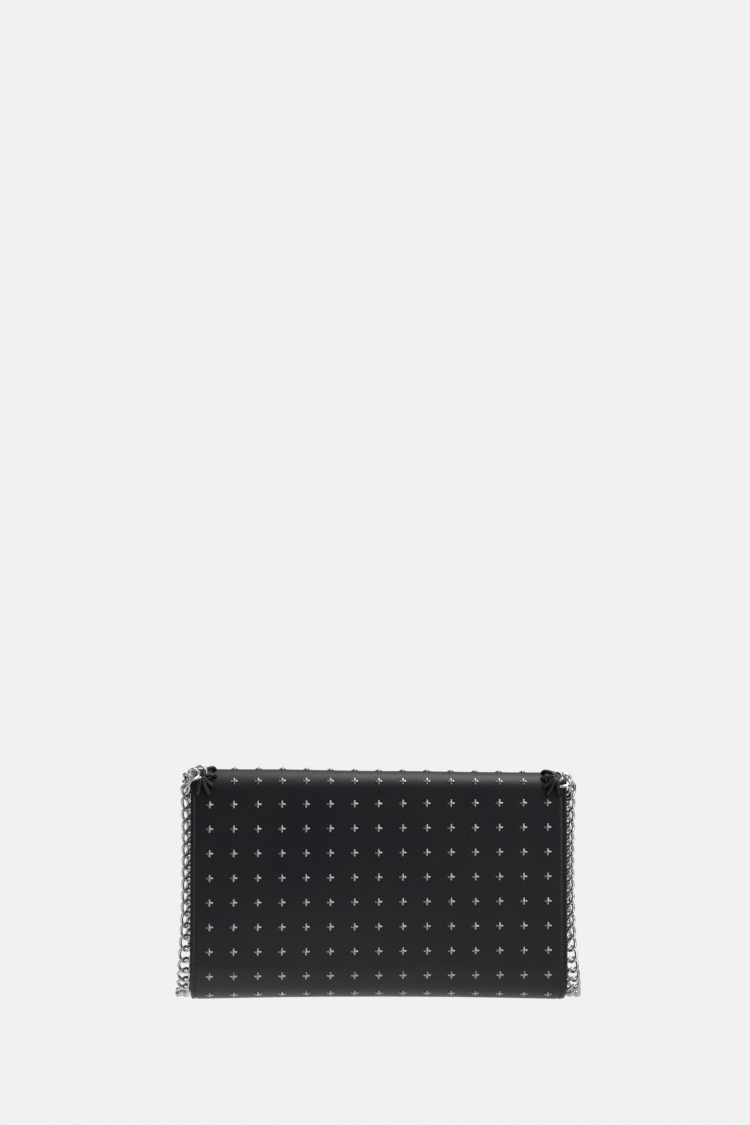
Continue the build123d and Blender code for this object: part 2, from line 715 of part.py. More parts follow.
back_rows = [(row, FULL_COLUMNS) for row in range(-1, 8)] + [(8, INNER_COLUMNS), (9, INNER_COLUMNS)]
save_group(stud_rows(back_rows), "back_studs")
save_group(stud_rows([(10, INNER_COLUMNS), (11, INNER_COLUMNS)]), "fold_studs")
save_group(stud_rows([(row, INNER_COLUMNS) for row in range(12, 18)]), "flap_studs")
save_group(seam_stitches(), "seam_stitches")

count = int(TRIM_LENGTH / LINK_PITCH)
pitch = TRIM_LENGTH / count
link_runs = [pitch * (i + 0.5) for i in range(count)]
lace_runs = [pitch * i for i in range(1, count)]
turn_left = TRIM_SIDE
turn_right = TRIM_SIDE + 2 * TRIM_CORNER + TRIM_BOTTOM
trim_groups = {"flap_trim_left": [], "flap_trim_bottom": [], "flap_trim_right": []}
for run in link_runs:
    place, along, inward = trim_place(run)
    group = "flap_trim_left" if run < turn_left else "flap_trim_bottom"
    if run > turn_right:
        group = "flap_trim_right"
    trim_groups[group].append(link_at(place, along, Vector(0, 1, 0)))
for group, links in trim_groups.items():
    save_group(links, group)
print("trim links", count, "pitch", round(pitch, 3))
save_group(flap_laces(lace_runs), "flap_laces")
save_group(fold_links(-1) + fold_links(1), "fold_trim")

save(strap_side(LEFT_ROUTE), "strap_left")
save(strap_side(RIGHT_ROUTE), "strap_right")
save(strap_coil(), "strap_coil")
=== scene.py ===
import json
import math

import bpy
from mathutils import Matrix, Vector, noise


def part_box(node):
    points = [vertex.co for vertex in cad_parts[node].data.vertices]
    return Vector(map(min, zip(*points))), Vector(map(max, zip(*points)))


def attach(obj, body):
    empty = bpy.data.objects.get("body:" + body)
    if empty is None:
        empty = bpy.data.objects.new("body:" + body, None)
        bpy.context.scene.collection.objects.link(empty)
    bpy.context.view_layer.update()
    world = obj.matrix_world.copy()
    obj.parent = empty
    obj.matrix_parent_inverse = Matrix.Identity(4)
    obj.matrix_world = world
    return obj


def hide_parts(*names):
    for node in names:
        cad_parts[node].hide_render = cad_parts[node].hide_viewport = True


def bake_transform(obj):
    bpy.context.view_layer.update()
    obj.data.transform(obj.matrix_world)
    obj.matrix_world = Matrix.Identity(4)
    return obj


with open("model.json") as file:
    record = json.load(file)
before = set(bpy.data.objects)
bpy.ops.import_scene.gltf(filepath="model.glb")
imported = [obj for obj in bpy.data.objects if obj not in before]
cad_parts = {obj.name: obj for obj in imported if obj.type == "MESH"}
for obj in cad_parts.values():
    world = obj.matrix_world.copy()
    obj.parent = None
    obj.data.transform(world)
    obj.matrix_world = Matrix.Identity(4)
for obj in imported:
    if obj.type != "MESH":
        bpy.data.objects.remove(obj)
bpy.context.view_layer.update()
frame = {"nodes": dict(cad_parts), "record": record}

MM = 0.001

# ---- sizes taken from the frame
shell_low, shell_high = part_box("back_panel")
flap_low, flap_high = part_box("flap_panel")
strip_low, strip_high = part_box("top_strip")
coil_low, coil_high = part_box("strap_coil")
fold_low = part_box("flap_fold")[0]
leaf_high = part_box("front_panel")[1]

HALF = shell_high[0]
HEIGHT = shell_high[2]
BACK_Y = shell_low[1]
FRONT_Y = shell_high[1]
FLAP_Y = flap_high[1]
FLAP_BOTTOM = flap_low[2]
FOLD_Z = fold_low[2]
FOLD_R = HEIGHT - FOLD_Z
STRIP_END = fold_low[1]
LEATHER = strip_high[2] - strip_low[2]
LINING = 0.8 * MM
LINING_INSET = 0.6 * MM
FRONT_BOTTOM_R = 8 * MM
BACK_BOTTOM_R = 16 * MM  # the soft fold at the bottom of the back
SKIN_DEPTH = 2.4 * MM  # leather, lining and a little air under them
FLAP_CORNER_R = 12 * MM
BACK_FOLD_Y = BACK_Y + FOLD_R
FRONT_FOLD_Y = FLAP_Y - FOLD_R
PANEL_TOP = leaf_high[2]

STUD_PITCH = 12.35 * MM  # from row to row
STUD_STEP = 12.18 * MM  # from column to column
FIRST_ROW_Z = 12.0 * MM  # height of the lowest row but one
ROW_TILT = 0.0062  # the rows climb a little towards the right
FULL_COLUMNS = 15  # in the rows of the back
INNER_COLUMNS = 13  # in the rows between the laced corners
SEAM_INSET = 2.3 * MM


# ---- camera
def make_camera():
    """Faces the back from half the wallet's height, tilted up a little."""
    distance = 2.0
    seen_width = 0.38025
    middle_x = -0.0019
    height = 0.062
    aim_z = 0.2205
    data = bpy.data.cameras.new("camera")
    data.sensor_fit = "HORIZONTAL"
    data.sensor_width = 36.0
    tilt = math.hypot(distance, aim_z - height)
    data.lens = data.sensor_width * tilt / seen_width
    data.clip_end = 50
    camera = bpy.data.objects.new("camera", data)
    camera.location = (middle_x, BACK_Y - distance, height)
    aim = Vector((middle_x, BACK_Y, aim_z)) - camera.location
    camera.rotation_euler = aim.to_track_quat("-Z", "Y").to_euler()
    bpy.context.scene.collection.objects.link(camera)
    bpy.context.scene.camera = camera


make_camera()


# ---- mesh helpers
END_TAPER = (0.62, 0.9)  # share of the radius in the first rings of a rounded end
END_CAP = 0.45  # length of the rounded tip in radii


def clamp(value):
    """The value, kept between 0 and 1."""
    return min(1.0, max(0.0, value))


def add_mesh(name, verts, faces, material, smooth=True):
    """A mesh object from lists of points and faces."""
    mesh = bpy.data.meshes.new(name)
    mesh.from_pydata([tuple(v) for v in verts], [], faces)
    mesh.validate()
    if smooth:
        mesh.polygons.foreach_set("use_smooth", [True] * len(mesh.polygons))
    piece = bpy.data.objects.new(name, mesh)
    bpy.context.scene.collection.objects.link(piece)
    mesh.materials.append(material)
    return piece


def join(parts):
    """One list of points and one of faces from many (points, faces) pairs."""
    verts, faces = [], []
    for points, polygons in parts:
        start = len(verts)
        verts.extend(points)
        faces.extend([tuple(start + i for i in polygon) for polygon in polygons])
    return verts, faces


def smooth_line(points, per_span, closed=False):
    """Points along a curve that passes through every given point."""
    count = len(points)
    spans = count if closed else count - 1
    line = []
    for i in range(spans):
        if closed:
            p0, p1, p2, p3 = (points[(i + k - 1) % count] for k in range(4))
        else:
            p0, p1 = points[max(i - 1, 0)], points[i]
            p2, p3 = points[i + 1], points[min(i + 2, count - 1)]
        for j in range(per_span):
            t = j / per_span
            line.append(0.5 * (2 * p1 + (p2 - p0) * t + (2 * p0 - 5 * p1 + 4 * p2 - p3) * t * t
                               + (3 * p1 - p0 - 3 * p2 + p3) * t ** 3))
    if not closed:
        line.append(points[-1].copy())
    return line


def ring_faces(a, b):
    """Faces between two rings of the same size."""
    size = len(a)
    return [(a[k], a[(k + 1) % size], b[(k + 1) % size], b[k]) for k in range(size)]


def tube(line, radius, sides, closed=False, flatten=1.0, up=None):
    """Round or flattened tube along a line of points, with rounded ends where it is open."""
    count = len(line)
    tangents = []
    for i in range(count):
        if closed:
            tangents.append((line[(i + 1) % count] - line[i - 1]).normalized())
        else:
            tangents.append((line[min(i + 1, count - 1)] - line[max(i - 1, 0)]).normalized())
    normal = up.copy() if up is not None else tangents[0].orthogonal()
    verts, rings = [], []
    for i in range(count):
        normal = (normal - tangents[i] * normal.dot(tangents[i])).normalized()
        across = tangents[i].cross(normal)
        share = 1.0
        if not closed:
            end = min(i, count - 1 - i)
            share = END_TAPER[end] if end < len(END_TAPER) else 1.0
        ring = []
        for k in range(sides):
            turn = 2 * math.pi * k / sides
            ring.append(len(verts))
            offset = across * math.cos(turn) + normal * (math.sin(turn) * flatten)
            verts.append(line[i] + offset * (radius * share))
        rings.append(ring)
    faces = []
    steps = count if closed else count - 1
    for i in range(steps):
        faces += ring_faces(rings[i], rings[(i + 1) % count])
    if not closed:
        for ring, centre, outward in ((rings[0], line[0], -1), (rings[-1], line[-1], 1)):
            tip = len(verts)
            verts.append(centre + tangents[0 if outward < 0 else -1] * (outward * radius * END_CAP))
            for k in range(sides):
                a, b = ring[k], ring[(k + 1) % sides]
                faces.append((tip, b, a) if outward < 0 else (tip, a, b))
    return verts, faces


# ---- materials
def material(name, color, roughness, metallic=0.0):
    """A Principled material and the parts of its node tree."""
    made = bpy.data.materials.new(name)
    made.use_nodes = True
    nodes = made.node_tree.nodes
    shader = nodes["Principled BSDF"]
    shader.inputs["Base Color"].default_value = (*color, 1)
    shader.inputs["Roughness"].default_value = roughness
    shader.inputs["Metallic"].default_value = metallic
    return made, nodes, made.node_tree.links, shader


def new_node(nodes, kind, **inputs):
    """A node with some of its inputs set; _ stands for a space in their names."""
    node = nodes.new(kind)
    for name, value in inputs.items():
        node.inputs[name.replace("_", " ")].default_value = value
    return node


def texture(nodes, links, kind, scale, **inputs):
    """A texture node in the object's own coordinates."""
    place = nodes.get("Place") or nodes.new("ShaderNodeTexCoord")
    place.name = "Place"
    node = new_node(nodes, kind, Scale=scale, **inputs)
    links.new(place.outputs["Object"], node.inputs["Vector"])
    return node


def spread(nodes, links, source, low, high, start=0.0, end=1.0):
    """Map a 0 to 1 source onto a range of values."""
    node = new_node(nodes, "ShaderNodeMapRange", From_Min=start, From_Max=end,
                    To_Min=low, To_Max=high)
    links.new(source, node.inputs["Value"])
    return node.outputs["Result"]


def tint(nodes, links, source, dark, light, start=0.3, end=0.7):
    """Map a source onto a run between two colours."""
    ramp = nodes.new("ShaderNodeValToRGB")
    for stop, place, color in zip(ramp.color_ramp.elements, (start, end), (dark, light)):
        stop.position = place
        stop.color = (*color, 1)
    links.new(source, ramp.inputs["Fac"])
    return ramp.outputs["Color"]


def bump(nodes, links, source, distance, strength=1.0, after=None):
    """A bump node, on top of an earlier one if given."""
    node = new_node(nodes, "ShaderNodeBump", Distance=distance, Strength=strength)
    links.new(source, node.inputs["Height"])
    if after is not None:
        links.new(after, node.inputs["Normal"])
    return node.outputs["Normal"]


def leather_material(name, dark, light, rough_low, rough_high, grain):
    """Leather: pore grain, fine creases, and slow patches of colour and sheen."""
    made, nodes, links, shader = material(name, light, rough_high)
    cells = texture(nodes, links, "ShaderNodeTexVoronoi", grain, Randomness=1.0)
    creases = texture(nodes, links, "ShaderNodeTexNoise", grain * 0.35, Detail=6.0, Roughness=0.62)
    patches = texture(nodes, links, "ShaderNodeTexNoise", 42.0, Detail=4.0)
    links.new(tint(nodes, links, patches.outputs["Fac"], dark, light), shader.inputs["Base Color"])
    links.new(spread(nodes, links, patches.outputs["Fac"], rough_high, rough_low, 0.3, 0.7),
              shader.inputs["Roughness"])
    first = bump(nodes, links, cells.outputs["Distance"], 0.05 * MM, 0.55)
    second = bump(nodes, links, creases.outputs["Fac"], 0.12 * MM, 0.6, first)
    third = bump(nodes, links, patches.outputs["Fac"], 0.5 * MM, 0.35, second)
    links.new(third, shader.inputs["Normal"])
    shader.inputs["Specular IOR Level"].default_value = 0.42
    shader.inputs["Coat Weight"].default_value = 0.06
    shader.inputs["Coat Roughness"].default_value = 0.3
    return made


def metal_material(name, color, rough_low, rough_high):
    """Polished metal with faint smears and fine marks."""
    made, nodes, links, shader = material(name, color, rough_high, 1.0)
    smears = texture(nodes, links, "ShaderNodeTexNoise", 260.0, Detail=5.0, Roughness=0.6)
    marks = texture(nodes, links, "ShaderNodeTexNoise", 2600.0, Detail=3.0, Roughness=0.7)
    dark = tuple(c * 0.72 for c in color)
    links.new(tint(nodes, links, smears.outputs["Fac"], dark, color), shader.inputs["Base Color"])
    links.new(spread(nodes, links, smears.outputs["Fac"], rough_low, rough_high, 0.3, 0.7),
              shader.inputs["Roughness"])
    links.new(bump(nodes, links, marks.outputs["Fac"], 0.005 * MM, 0.5), shader.inputs["Normal"])
    return made


def cloth_material(name, dark, light, threads, rib_angle=0.0):
    """Woven cloth: crossed threads with a little colour change."""
    made, nodes, links, shader = material(name, light, 0.86)
    place = nodes.new("ShaderNodeTexCoord")
    turned = new_node(nodes, "ShaderNodeMapping", Rotation=(0.0, rib_angle, 0.0))
    links.new(place.outputs["Object"], turned.inputs["Vector"])
    waves = []
    for direction in ("X", "Z"):
        wave = new_node(nodes, "ShaderNodeTexWave", Scale=threads, Distortion=0.6, Detail=2.0)
        wave.bands_direction = direction
        links.new(turned.outputs["Vector"], wave.inputs["Vector"])
        waves.append(wave.outputs["Fac"])
    product = nodes.new("ShaderNodeMath")
    product.operation = "MULTIPLY"
    links.new(waves[0], product.inputs[0])
    links.new(waves[1], product.inputs[1])
    links.new(tint(nodes, links, product.outputs[0], dark, light, 0.1, 0.9),
              shader.inputs["Base Color"])
    links.new(bump(nodes, links, product.outputs[0], 0.08 * MM, 0.8), shader.inputs["Normal"])
    shader.inputs["Sheen Weight"].default_value = 0.2
    shader.inputs["Sheen Roughness"].default_value = 0.5
    return made


outer_leather = leather_material("outer_leather", (0.0030, 0.0035, 0.0060),
                                 (0.0045, 0.0051, 0.0088), 0.39, 0.49, 1500.0)
inner_leather = leather_material("inner_leather", (0.030, 0.030, 0.031),
                                 (0.045, 0.045, 0.046), 0.46, 0.58, 1900.0)
lace_leather = leather_material("lace_leather", (0.005, 0.005, 0.0055),
                                (0.008, 0.008, 0.0088), 0.26, 0.4, 2600.0)
chain_metal = metal_material("chain_metal", (0.72, 0.71, 0.685), 0.03, 0.08)
stud_metal = metal_material("stud_metal", (0.42, 0.42, 0.425), 0.08, 0.18)
hardware_metal = metal_material("hardware_metal", (0.6, 0.6, 0.61), 0.18, 0.34)
lining_cloth = cloth_material("lining_cloth", (0.035, 0.035, 0.037),
                              (0.085, 0.085, 0.089), 420.0)
tape_cloth = cloth_material("tape_cloth", (0.01, 0.01, 0.011), (0.028, 0.028, 0.03), 900.0, 0.6)
thread_cloth = cloth_material("thread_cloth", (0.012, 0.012, 0.012),
                              (0.03, 0.03, 0.031), 1500.0, 0.7)


# ---- chain links
LINK_A = 4.0 * MM  # half length and half width of the wire's line
LINK_B = 2.95 * MM
LINK_TWIST = 1.18 * MM  # how far the wire rises and falls round the link
LINK_WIRE_R = 0.74 * MM
LINK_FLAT = 0.62  # from here, in wire radii, the faces are ground flatter
LINK_CROWN = 0.35  # share of the height left over that
LINK_STEPS = 44
LINK_SIDES = 14


def link_shape():
    """One curb link, long axis X, flat side Z."""
    line = []
    for i in range(LINK_STEPS):
        turn = 2 * math.pi * i / LINK_STEPS
        line.append(Vector((LINK_A * math.cos(turn), LINK_B * math.sin(turn),
                            LINK_TWIST * math.sin(2 * turn))))
    verts, faces = tube(line, LINK_WIRE_R, LINK_SIDES, closed=True, up=Vector((0, 0, 1)))
    flat = LINK_TWIST + LINK_WIRE_R * LINK_FLAT
    for v in verts:
        if abs(v.z) > flat:
            v.z = math.copysign(flat + (abs(v.z) - flat) * LINK_CROWN, v.z)
    return verts, faces


LINK = link_shape()


def link_at(centre, along, normal):
    """A link with its middle, long axis and flat side given."""
    along = along.normalized()
    normal = (normal - along * normal.dot(along)).normalized()
    turn = Matrix((along, normal.cross(along), normal)).transposed()
    return [centre + turn @ v for v in LINK[0]], LINK[1]


# ---- the strap
STRAP_D = 7 * MM
STRAP_PITCH = 5.85 * MM
STRAP_MARGIN = 2 * MM  # from the strap's end to the middle of its end link
HANG_HEIGHT = 14 * MM  # above this the links hang upright; on the floor they lie flat
SWAY = 0.16  # how much a hanging link turns about the strap
END_RUN = 14 * MM  # the last stretch, which turns towards the sewn links
END_TURN = 0.5
LEFT_LEAN = 0.6 * MM  # how far the hanging links lean towards the wallet
RIGHT_LEAN = 0.25 * MM
FLOOR_LIFT = 2.2  # mm from the floor to the middle of the lying strap

# the strap's hanging ends and their way behind the wallet, in mm
LEFT_ROUTE = [
    (-97.6, -7.4, 106.5), (-96.9, -6.6, 92), (-96.8, -6.0, 66),
    (-97.2, -6.2, 42), (-98.4, -6.2, 21.6), (-99.6, 0.2, 10.2),
    (-100.4, 11.6, FLOOR_LIFT), (-100.8, 25.0, FLOOR_LIFT), (-96.2, 36.0, FLOOR_LIFT),
    (-88.6, 45.0, FLOOR_LIFT),
]
RIGHT_ROUTE = [
    (96.6, -7.4, 106.5), (95.8, -6.4, 90), (95.6, -5.8, 65),
    (95.9, -6.0, 44), (96.8, -6.2, 24), (98.9, 0.2, 11.0),
    (99.6, 12.0, FLOOR_LIFT), (100.0, 28.0, FLOOR_LIFT), (98.0, 44.0, FLOOR_LIFT),
    (91.5, 58.5, FLOOR_LIFT), (80.0, 70.0, FLOOR_LIFT), (65.0, 78.5, FLOOR_LIFT),
    (48.0, 83.5, FLOOR_LIFT), (29.0, 85.6, FLOOR_LIFT), (9.0, 86.0, FLOOR_LIFT + 0.6),
    (-12.0, 86.0, FLOOR_LIFT + 3.2),
]
COIL_TURNS = 3.25
COIL_STEP = 7.8 * MM  # from turn to turn
LAYER_LIFT = 4.4 * MM
LAYER_CROSSING = 0.12  # half the stretch, in turns, over which the coil climbs
# one turn of the coil: the round end a point belongs to (0: midway along a side) and its angle
COIL_ROUND = [(-1, 180.0 - 22.5 * i) for i in range(5)] + [(0, 90.0)]
COIL_ROUND += [(1, 90.0 - 22.5 * i) for i in range(9)] + [(0, -90.0)]
COIL_ROUND += [(-1, -90.0 - 22.5 * i) for i in range(4)]


def coil_points():
    """Turns on the floor that close in, then a second layer on them that opens out."""
    centre_x = (coil_low[0] + coil_high[0]) / 2
    centre_y = (coil_low[1] + coil_high[1]) / 2
    straight = ((coil_high[0] - coil_low[0]) - (coil_high[1] - coil_low[1])) / 2
    outer = (coil_high[1] - coil_low[1]) / 2 - STRAP_D / 2
    points = []
    for i in range(int(COIL_TURNS * len(COIL_ROUND)) + 1):
        turns = i / len(COIL_ROUND)
        radius = outer - COIL_STEP * min(turns, COIL_TURNS - turns)
        layer = clamp((turns - COIL_TURNS / 2 + LAYER_CROSSING) / (2 * LAYER_CROSSING))
        end, angle = COIL_ROUND[i % len(COIL_ROUND)]
        turn = math.radians(angle)
        points.append((centre_x + straight * end + radius * math.cos(turn),
                       centre_y + radius * math.sin(turn), FLOOR_LIFT * MM + LAYER_LIFT * layer))
    return points


def strap_line():
    """Points along the middle of the strap, from its left sewn end to its right one."""
    left = [tuple(c * MM for c in p) for p in LEFT_ROUTE]
    right = [tuple(c * MM for c in p) for p in reversed(RIGHT_ROUTE)]
    route = left + coil_points() + right
    curve = bpy.data.curves.new("strap_route", "CURVE")
    curve.dimensions = "3D"
    spline = curve.splines.new("NURBS")
    spline.points.add(len(route) - 1)
    for point, place in zip(spline.points, route):
        point.co = (*place, 1)
    spline.order_u = 3
    spline.use_endpoint_u = True
    curve.resolution_u = 16
    guide = bpy.data.objects.new("strap_route", curve)
    bpy.context.scene.collection.objects.link(guide)
    read = bpy.data.meshes.new_from_object(guide)
    line = [v.co.copy() for v in read.vertices]
    bpy.data.objects.remove(guide)
    return line


def strap_link(number, centre, along, from_left, from_right):
    """One link of the strap: upright where it hangs, flat on the floor."""
    on_left = from_left < (from_left + from_right) / 2
    hangs = clamp(centre.z / HANG_HEIGHT)
    facing = along.cross(Vector((1, 0, 0)))
    if facing.z < 0:
        facing = -facing
    normal = Vector((0, 0, 1)).lerp(facing, hangs)
    sway = noise.noise(Vector((number * 0.9, 4.0, 1.0))) * SWAY * hangs
    turn_in = END_TURN * max(0.0, 1 - min(from_left, from_right) / END_RUN)
    normal = normal + along.cross(normal) * (sway + (turn_in if on_left else -turn_in))
    lean = (LEFT_LEAN if on_left else RIGHT_LEAN) * min(1.0, hangs * 3)
    centre.x -= math.copysign(lean, centre.x)
    return link_at(centre, along, normal)


def make_strap():
    """Curb links all along the strap, at an even pitch."""
    line = strap_line()
    lengths = [0.0]
    for a, b in zip(line, line[1:]):
        lengths.append(lengths[-1] + (b - a).length)
    total = lengths[-1]
    count = round((total - 2 * STRAP_MARGIN) / STRAP_PITCH)
    pitch = (total - 2 * STRAP_MARGIN) / count
    links = []
    at = 0
    for i in range(count + 1):
        s = STRAP_MARGIN + pitch * i
        while at < len(line) - 2 and lengths[at + 1] < s:
            at += 1
        share = (s - lengths[at]) / max(1e-9, lengths[at + 1] - lengths[at])
        centre = line[at].lerp(line[at + 1], share)
        along = (line[min(at + 3, len(line) - 1)] - line[max(at - 2, 0)]).normalized()
        links.append(strap_link(i, centre, along, s, total - s))
    strap = add_mesh("strap_chain", *join(links), chain_metal)
    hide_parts("strap_left", "strap_right", "strap_coil")
    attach(strap, "wallet_body")


make_strap()


# ---- the leather's path
# straight and curved stretches in (y, z), from the low front edge under the wallet,
# up the back, over the top and down the flap; the outer side is on the left of travel
SHELL_PATH = [
    ("arc", FRONT_Y - FRONT_BOTTOM_R, FRONT_BOTTOM_R, FRONT_BOTTOM_R, 0),
    ("line", FRONT_Y - FRONT_BOTTOM_R, 0.0, BACK_Y + BACK_BOTTOM_R, 0.0),
    ("arc", BACK_Y + BACK_BOTTOM_R, BACK_BOTTOM_R, BACK_BOTTOM_R, -90),
    ("line", BACK_Y, BACK_BOTTOM_R, BACK_Y, FOLD_Z),
    ("arc", BACK_FOLD_Y, FOLD_Z, FOLD_R, 180),
    ("line", BACK_FOLD_Y, HEIGHT, FRONT_FOLD_Y, HEIGHT),
    ("arc", FRONT_FOLD_Y, FOLD_Z, FOLD_R, 90),
    ("line", FLAP_Y, FOLD_Z, FLAP_Y, FLAP_BOTTOM),
]
LEAF_PATH = [("line", FRONT_Y, PANEL_TOP, FRONT_Y, FRONT_BOTTOM_R)]


def stretch_length(stretch):
    """Length of one stretch; every arc is a quarter turn."""
    if stretch[0] == "arc":
        return stretch[3] * math.pi / 2
    return math.hypot(stretch[3] - stretch[1], stretch[4] - stretch[2])


def path_length(path):
    """Length of a path or of its first stretches."""
    return sum(stretch_length(stretch) for stretch in path)


def on_path(path, s):
    """(y, z) and outward (y, z) normal at length s along a path."""
    for stretch in path:
        length = stretch_length(stretch)
        if s <= length or stretch is path[-1]:
            break
        s -= length
    if stretch[0] == "arc":
        _, y, z, radius, start = stretch
        turn = math.radians(start) - s / radius
        ny, nz = math.cos(turn), math.sin(turn)
        return y + ny * radius, z + nz * radius, ny, nz
    _, y0, z0, y1, z1 = stretch
    dy, dz = (y1 - y0) / length, (z1 - z0) / length
    return y0 + dy * s, z0 + dz * s, -dz, dy


BOTTOM_RUN = path_length(SHELL_PATH[:3])
BACK_RUN = path_length(SHELL_PATH[:4])
TOP_START = path_length(SHELL_PATH[:5])
STRIP_RUN = TOP_START + STRIP_END - BACK_FOLD_Y
FLAP_START = path_length(SHELL_PATH[:7])
FULL_RUN = path_length(SHELL_PATH)
FIRST_ROW = BOTTOM_RUN - BACK_BOTTOM_R * math.asin(1 - FIRST_ROW_Z / BACK_BOTTOM_R)


# ---- the leather's form
BACK_CROWN = 1.7 * MM
FLAP_CROWN = 0.5 * MM
PRESS = 0.45 * MM  # the hollow where the back turns into the top fold
PRESS_RUN = 18 * MM
PRESS_FADE = 0.6
SAG = 2.1 * MM  # how much lower the top fold lies at the right end
DIP = 0.55 * MM  # and in its middle
SAG_START = BACK_RUN - 2 * MM
SAG_RAMP = 16 * MM
SAG_LEAVE = 10 * MM
ARCH = 1.1 * MM  # how far the bottom fold's middle lifts off the floor
ARCH_END = BOTTOM_RUN - 17 * MM
ARCH_FADE = 16 * MM
GROOVE_END = BACK_RUN + 14 * MM  # the seam's groove
GROOVE_DEPTH = 0.32 * MM
GROOVE_WIDTH = 0.5 * MM
DRAW_CENTRE = BOTTOM_RUN - 24 * MM  # where the ends of the bottom fold draw in
DRAW_RUN = 13 * MM
DRAW_RIGHT = 2.8 * MM
DRAW_LEFT = 0.2 * MM


def bow(s, start, end):
    """0 at both ends of a stretch and 1 in its middle."""
    return max(0.0, math.sin(math.pi * clamp((s - start) / (end - start))))


def swell(x, s):
    """How far the leather stands off its flat path: a soft crown and slow unevenness."""
    edge = 1 - min(1.0, abs(x) / HALF) ** 2
    crown = BACK_CROWN * edge * bow(s, BOTTOM_RUN, BACK_RUN)
    crown += FLAP_CROWN * edge * bow(s, FLAP_START, FULL_RUN)
    rise = (s - BACK_RUN) / PRESS_RUN + 1
    if 0 < rise < 1:
        crown -= PRESS * rise * rise
    elif 1 <= rise < 1 + PRESS_FADE:
        crown -= PRESS * math.cos((rise - 1) / PRESS_FADE * math.pi / 2) ** 2
    slow = noise.noise(Vector((x * 22, s * 26, 3.7))) * 0.32 * MM
    fine = noise.noise(Vector((x * 75, s * 80, 9.1))) * 0.09 * MM
    return crown + slow + fine


def sag(x, s):
    """The top fold lies lower towards the right side."""
    near_top = clamp((s - SAG_START) / SAG_RAMP)
    leave = clamp((FLAP_START - s) / SAG_LEAVE)
    slope = SAG * max(0.0, (x + HALF) / (2 * HALF)) ** 1.6
    dip = DIP * max(0.0, 1 - (x / HALF) ** 2)
    return (slope + dip) * near_top * near_top * (3 - 2 * near_top) * leave


def arch(x, s):
    """The bottom fold stands on its ends; its middle lifts a little off the floor."""
    low = max(0.0, 1 - max(0.0, s - ARCH_END) / ARCH_FADE)
    return ARCH * low * max(0.0, 1 - (x / (0.93 * HALF)) ** 2)


def side_inset(side, s):
    """The leather draws in a little at the ends of the bottom fold."""
    low = max(0.0, 1 - abs(s - DRAW_CENTRE) / DRAW_RUN)
    return (DRAW_RIGHT if side > 0 else DRAW_LEFT) * low ** 1.4


def seam_dip(x, s):
    """Groove pressed by the seam along each side edge of the back."""
    if s > GROOVE_END:
        return 0.0
    edge = HALF - side_inset(1 if x > 0 else -1, s) - abs(x)
    return GROOVE_DEPTH * math.exp(-((edge - SEAM_INSET) / GROOVE_WIDTH) ** 2)


def skin_point(path, x, s, depth=0.0):
    """Point and outward normal on the leather, depth under its outer face."""
    y, z, ny, nz = on_path(path, s)
    normal = Vector((0, ny, nz))
    lift = drop = 0.0
    if path is SHELL_PATH:
        lift = swell(x, s)
        if s < BOTTOM_RUN:
            lift = min(lift, 0.0) * max(0.0, s / BOTTOM_RUN)
        lift -= seam_dip(x, s)
        drop = sag(x, s) - arch(x, s)
    return Vector((x, y, z - drop)) + normal * (lift - depth), normal


# ---- sheets
EDGE_STEPS = [step * MM for step in (0.0, 0.3, 0.6, 0.9, 1.2, 1.4, 1.6, 1.8, 2.0, 2.4, 3.0, 4.0)]
INNER_STEPS = 120
COLUMNS = INNER_STEPS + 2 * len(EDGE_STEPS) - 2
RIM_TURNS = (22.5, 45, 67.5, 90, 112.5, 135, 157.5)
CORNER_STEPS = 14
# rows of a free edge: distance from it in half thicknesses, and share of the thickness there
FREE_EDGE = ((0.0, 0.3), (0.12, 0.6), (0.45, 0.9))


def row_places(start, end, step, free_start, free_end, thick):
    """Lengths along the path for each row of a sheet, with the share of the thickness there."""
    r = thick / 2
    rows = []
    if free_start:
        rows += [(start + place * r, share) for place, share in FREE_EDGE]
    begin = start + r if free_start else start
    stop = end - r if free_end else end
    count = max(2, round((stop - begin) / step))
    rows += [(begin + (stop - begin) * i / count, 1.0) for i in range(count + 1)]
    if free_end:
        rows += [(end - place * r, share) for place, share in reversed(FREE_EDGE)]
    return rows


def corner_places(rows, end, corner):
    """The rows of a sheet with its last stretch closer together, for round corners."""
    kept = [row for row in rows if row[0] < end - corner]
    turns = [i / CORNER_STEPS for i in range(CORNER_STEPS + 1)]
    kept += [(end - corner + corner * math.sin(t * math.pi / 2) * 0.999, 1.0) for t in turns]
    return kept + [(end, 0.5)]


def half_width(path, s, side, inset, end, corner):
    """Distance from the middle of a sheet to one of its side edges."""
    half = HALF - inset
    if path is SHELL_PATH:
        half -= side_inset(side, s)
    if corner and s > end - corner:
        rest = min(1.0, (s - (end - corner)) / corner)
        half -= corner * (1 - math.sqrt(max(0.0, 1 - rest * rest)))
    return half


def column_place(i, left, right):
    """Place of a column across a sheet: close together at the edges, even between them."""
    if i < len(EDGE_STEPS):
        return left + EDGE_STEPS[i]
    if i > COLUMNS - len(EDGE_STEPS):
        return right - EDGE_STEPS[COLUMNS - i]
    first, last = left + EDGE_STEPS[-1], right - EDGE_STEPS[-1]
    return first + (last - first) * (i - len(EDGE_STEPS) + 1) / INNER_STEPS


